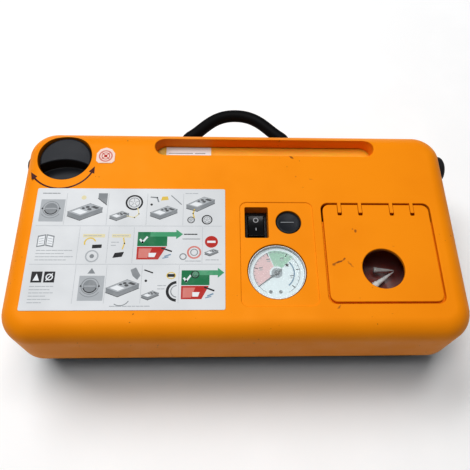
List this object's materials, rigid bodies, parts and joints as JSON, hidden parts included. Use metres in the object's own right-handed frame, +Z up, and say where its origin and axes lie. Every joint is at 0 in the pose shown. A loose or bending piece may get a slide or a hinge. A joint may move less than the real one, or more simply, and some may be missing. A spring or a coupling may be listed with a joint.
{
  "type": "tyre inflator and sealant kit",
  "caption": "Flat orange carry case holding a 12 V piston air compressor, sealant flask, selector knob, rocker switch, pressure gauge, lidded adaptor compartment and parked air hose.",
  "frame": {"origin": "centre of the flat underside that the case rests on", "axes": "+X along the long side to the right, +Y to the rear where the carry handle is, +Z up"},
  "size_m": [0.3086, 0.19, 0.0783],
  "materials": {
    "orange_plastic": "moulded, fine texture, satin",
    "black_plastic": "moulded, fine texture, satin",
    "gloss_black": "glossy",
    "black_rubber": "matt",
    "steel": "plain",
    "cast_aluminium": "cast",
    "brass": "turned",
    "white_nylon": "moulded",
    "amber_polyethylene": "blow-moulded, slightly waxy",
    "label_vinyl": "printed vinyl, satin",
    "dial_white": "printed, matt",
    "clear_acrylic": "clear",
    "clear_film": "clear, crinkled"
  },
  "bodies": {
    "case": {"top_cover": "orange_plastic", "compartment_tray": "orange_plastic", "base_shell": "black_plastic", "hose_outlet": "black_plastic", "handle_bezel_left": "black_plastic", "handle_bezel_right": "black_plastic", "switch_body": "gloss_black", "carry_handle": "black_rubber", "air_hose": "black_rubber", "lead_gland": "black_rubber", "pump_hose": "black_rubber", "gauge_tube": "black_rubber", "rubber_pad_front_left": "black_rubber", "rubber_pad_front_right": "black_rubber", "rubber_pad_rear_left": "black_rubber", "rubber_pad_rear_right": "black_rubber", "motor": "steel", "gear_axle": "steel", "gauge_case": "steel", "button_spring": "steel", "hinge_pin_left": "steel", "hinge_pin_right": "steel", "retainer_pin_left": "steel", "retainer_pin_right": "steel", "case_screw_front_left": "steel", "case_screw_front_right": "steel", "case_screw_rear_left": "steel", "case_screw_rear_right": "steel", "compressor_frame": "cast_aluminium", "compressor_cylinder": "cast_aluminium", "cylinder_head": "cast_aluminium", "valve_connector": "brass", "bleed_valve": "brass", "gauge_movement": "brass", "selector_valve": "white_nylon", "flask_cap": "white_nylon", "sealant_tube": "white_nylon", "sealant_flask": "amber_polyethylene", "instruction_label": "label_vinyl", "position_sticker": "label_vinyl", "gauge_dial": "dial_white", "gauge_lens": "clear_acrylic", "adaptor_bag": "clear_film"},
    "flap": {"compartment_flap": "orange_plastic"},
    "knob": {"selector_knob": "black_plastic"},
    "rocker": {"switch_rocker": "gloss_black"},
    "button": {"bleed_button": "black_plastic"},
    "needle": {"gauge_needle": "black_plastic"},
    "crank": {"crank_gear": "white_nylon"},
    "pinion": {"motor_pinion": "steel"},
    "piston_rod": {"piston": "cast_aluminium", "connecting_rod": "cast_aluminium"},
    "retainer_left": {"hose_retainer_left": "black_plastic"},
    "retainer_right": {"hose_retainer_right": "black_plastic"}
  },
  "joints": [
    {"name": "flap_hinge", "type": "hinge", "parent": "case", "child": "flap", "pos_m": [0.09255, 0.0105, 0.0757], "axis": [-1, 0, 0], "range_deg": [0, 100]},
    {"name": "knob_turn", "type": "hinge", "parent": "case", "child": "knob", "pos_m": [-0.1205, 0.051, 0.07], "axis": [0, 0, 1], "range_deg": [0, 90]},
    {"name": "rocker_tilt", "type": "hinge", "parent": "case", "child": "rocker", "pos_m": [0.0113, 0.0004, 0.0682], "axis": [1, 0, 0], "range_deg": [0, 16]},
    {"name": "button_press", "type": "slide", "parent": "case", "child": "button", "axis": [0, 0, -1], "range_m": [0, 0.003], "stiffness_N_per_m": 600, "springref_m": -0.002, "deforming": ["button_spring"]},
    {"name": "needle_sweep", "type": "hinge", "parent": "case", "child": "needle", "pos_m": [0.0236, -0.0347, 0.0745], "axis": [0, 0, -1], "range_deg": [0, 250]},
    {"name": "crank_spin", "type": "hinge", "parent": "case", "child": "crank", "pos_m": [-0.0719, 0.004, 0.0495], "axis": [1, 0, 0], "continuous": true},
    {"name": "pinion_spin", "type": "hinge", "parent": "case", "child": "pinion", "pos_m": [-0.0719, 0.004, 0.0225], "axis": [1, 0, 0], "continuous": true},
    {"name": "piston_slide", "type": "slide", "parent": "case", "child": "piston_rod", "axis": [0, -1, 0], "range_m": [0, 0.014]},
    {"name": "retainer_turn_left", "type": "hinge", "parent": "case", "child": "retainer_left", "pos_m": [-0.1478, 0.058, 0.054], "axis": [-1, 0, 0], "range_deg": [0, 90]},
    {"name": "retainer_turn_right", "type": "hinge", "parent": "case", "child": "retainer_right", "pos_m": [0.1478, 0.058, 0.054], "axis": [-1, 0, 0], "range_deg": [0, 90]}
  ],
  "couplings": [
    {"joint": "pinion_spin", "follows": "crank_spin", "ratio": -4.4}
  ]
}
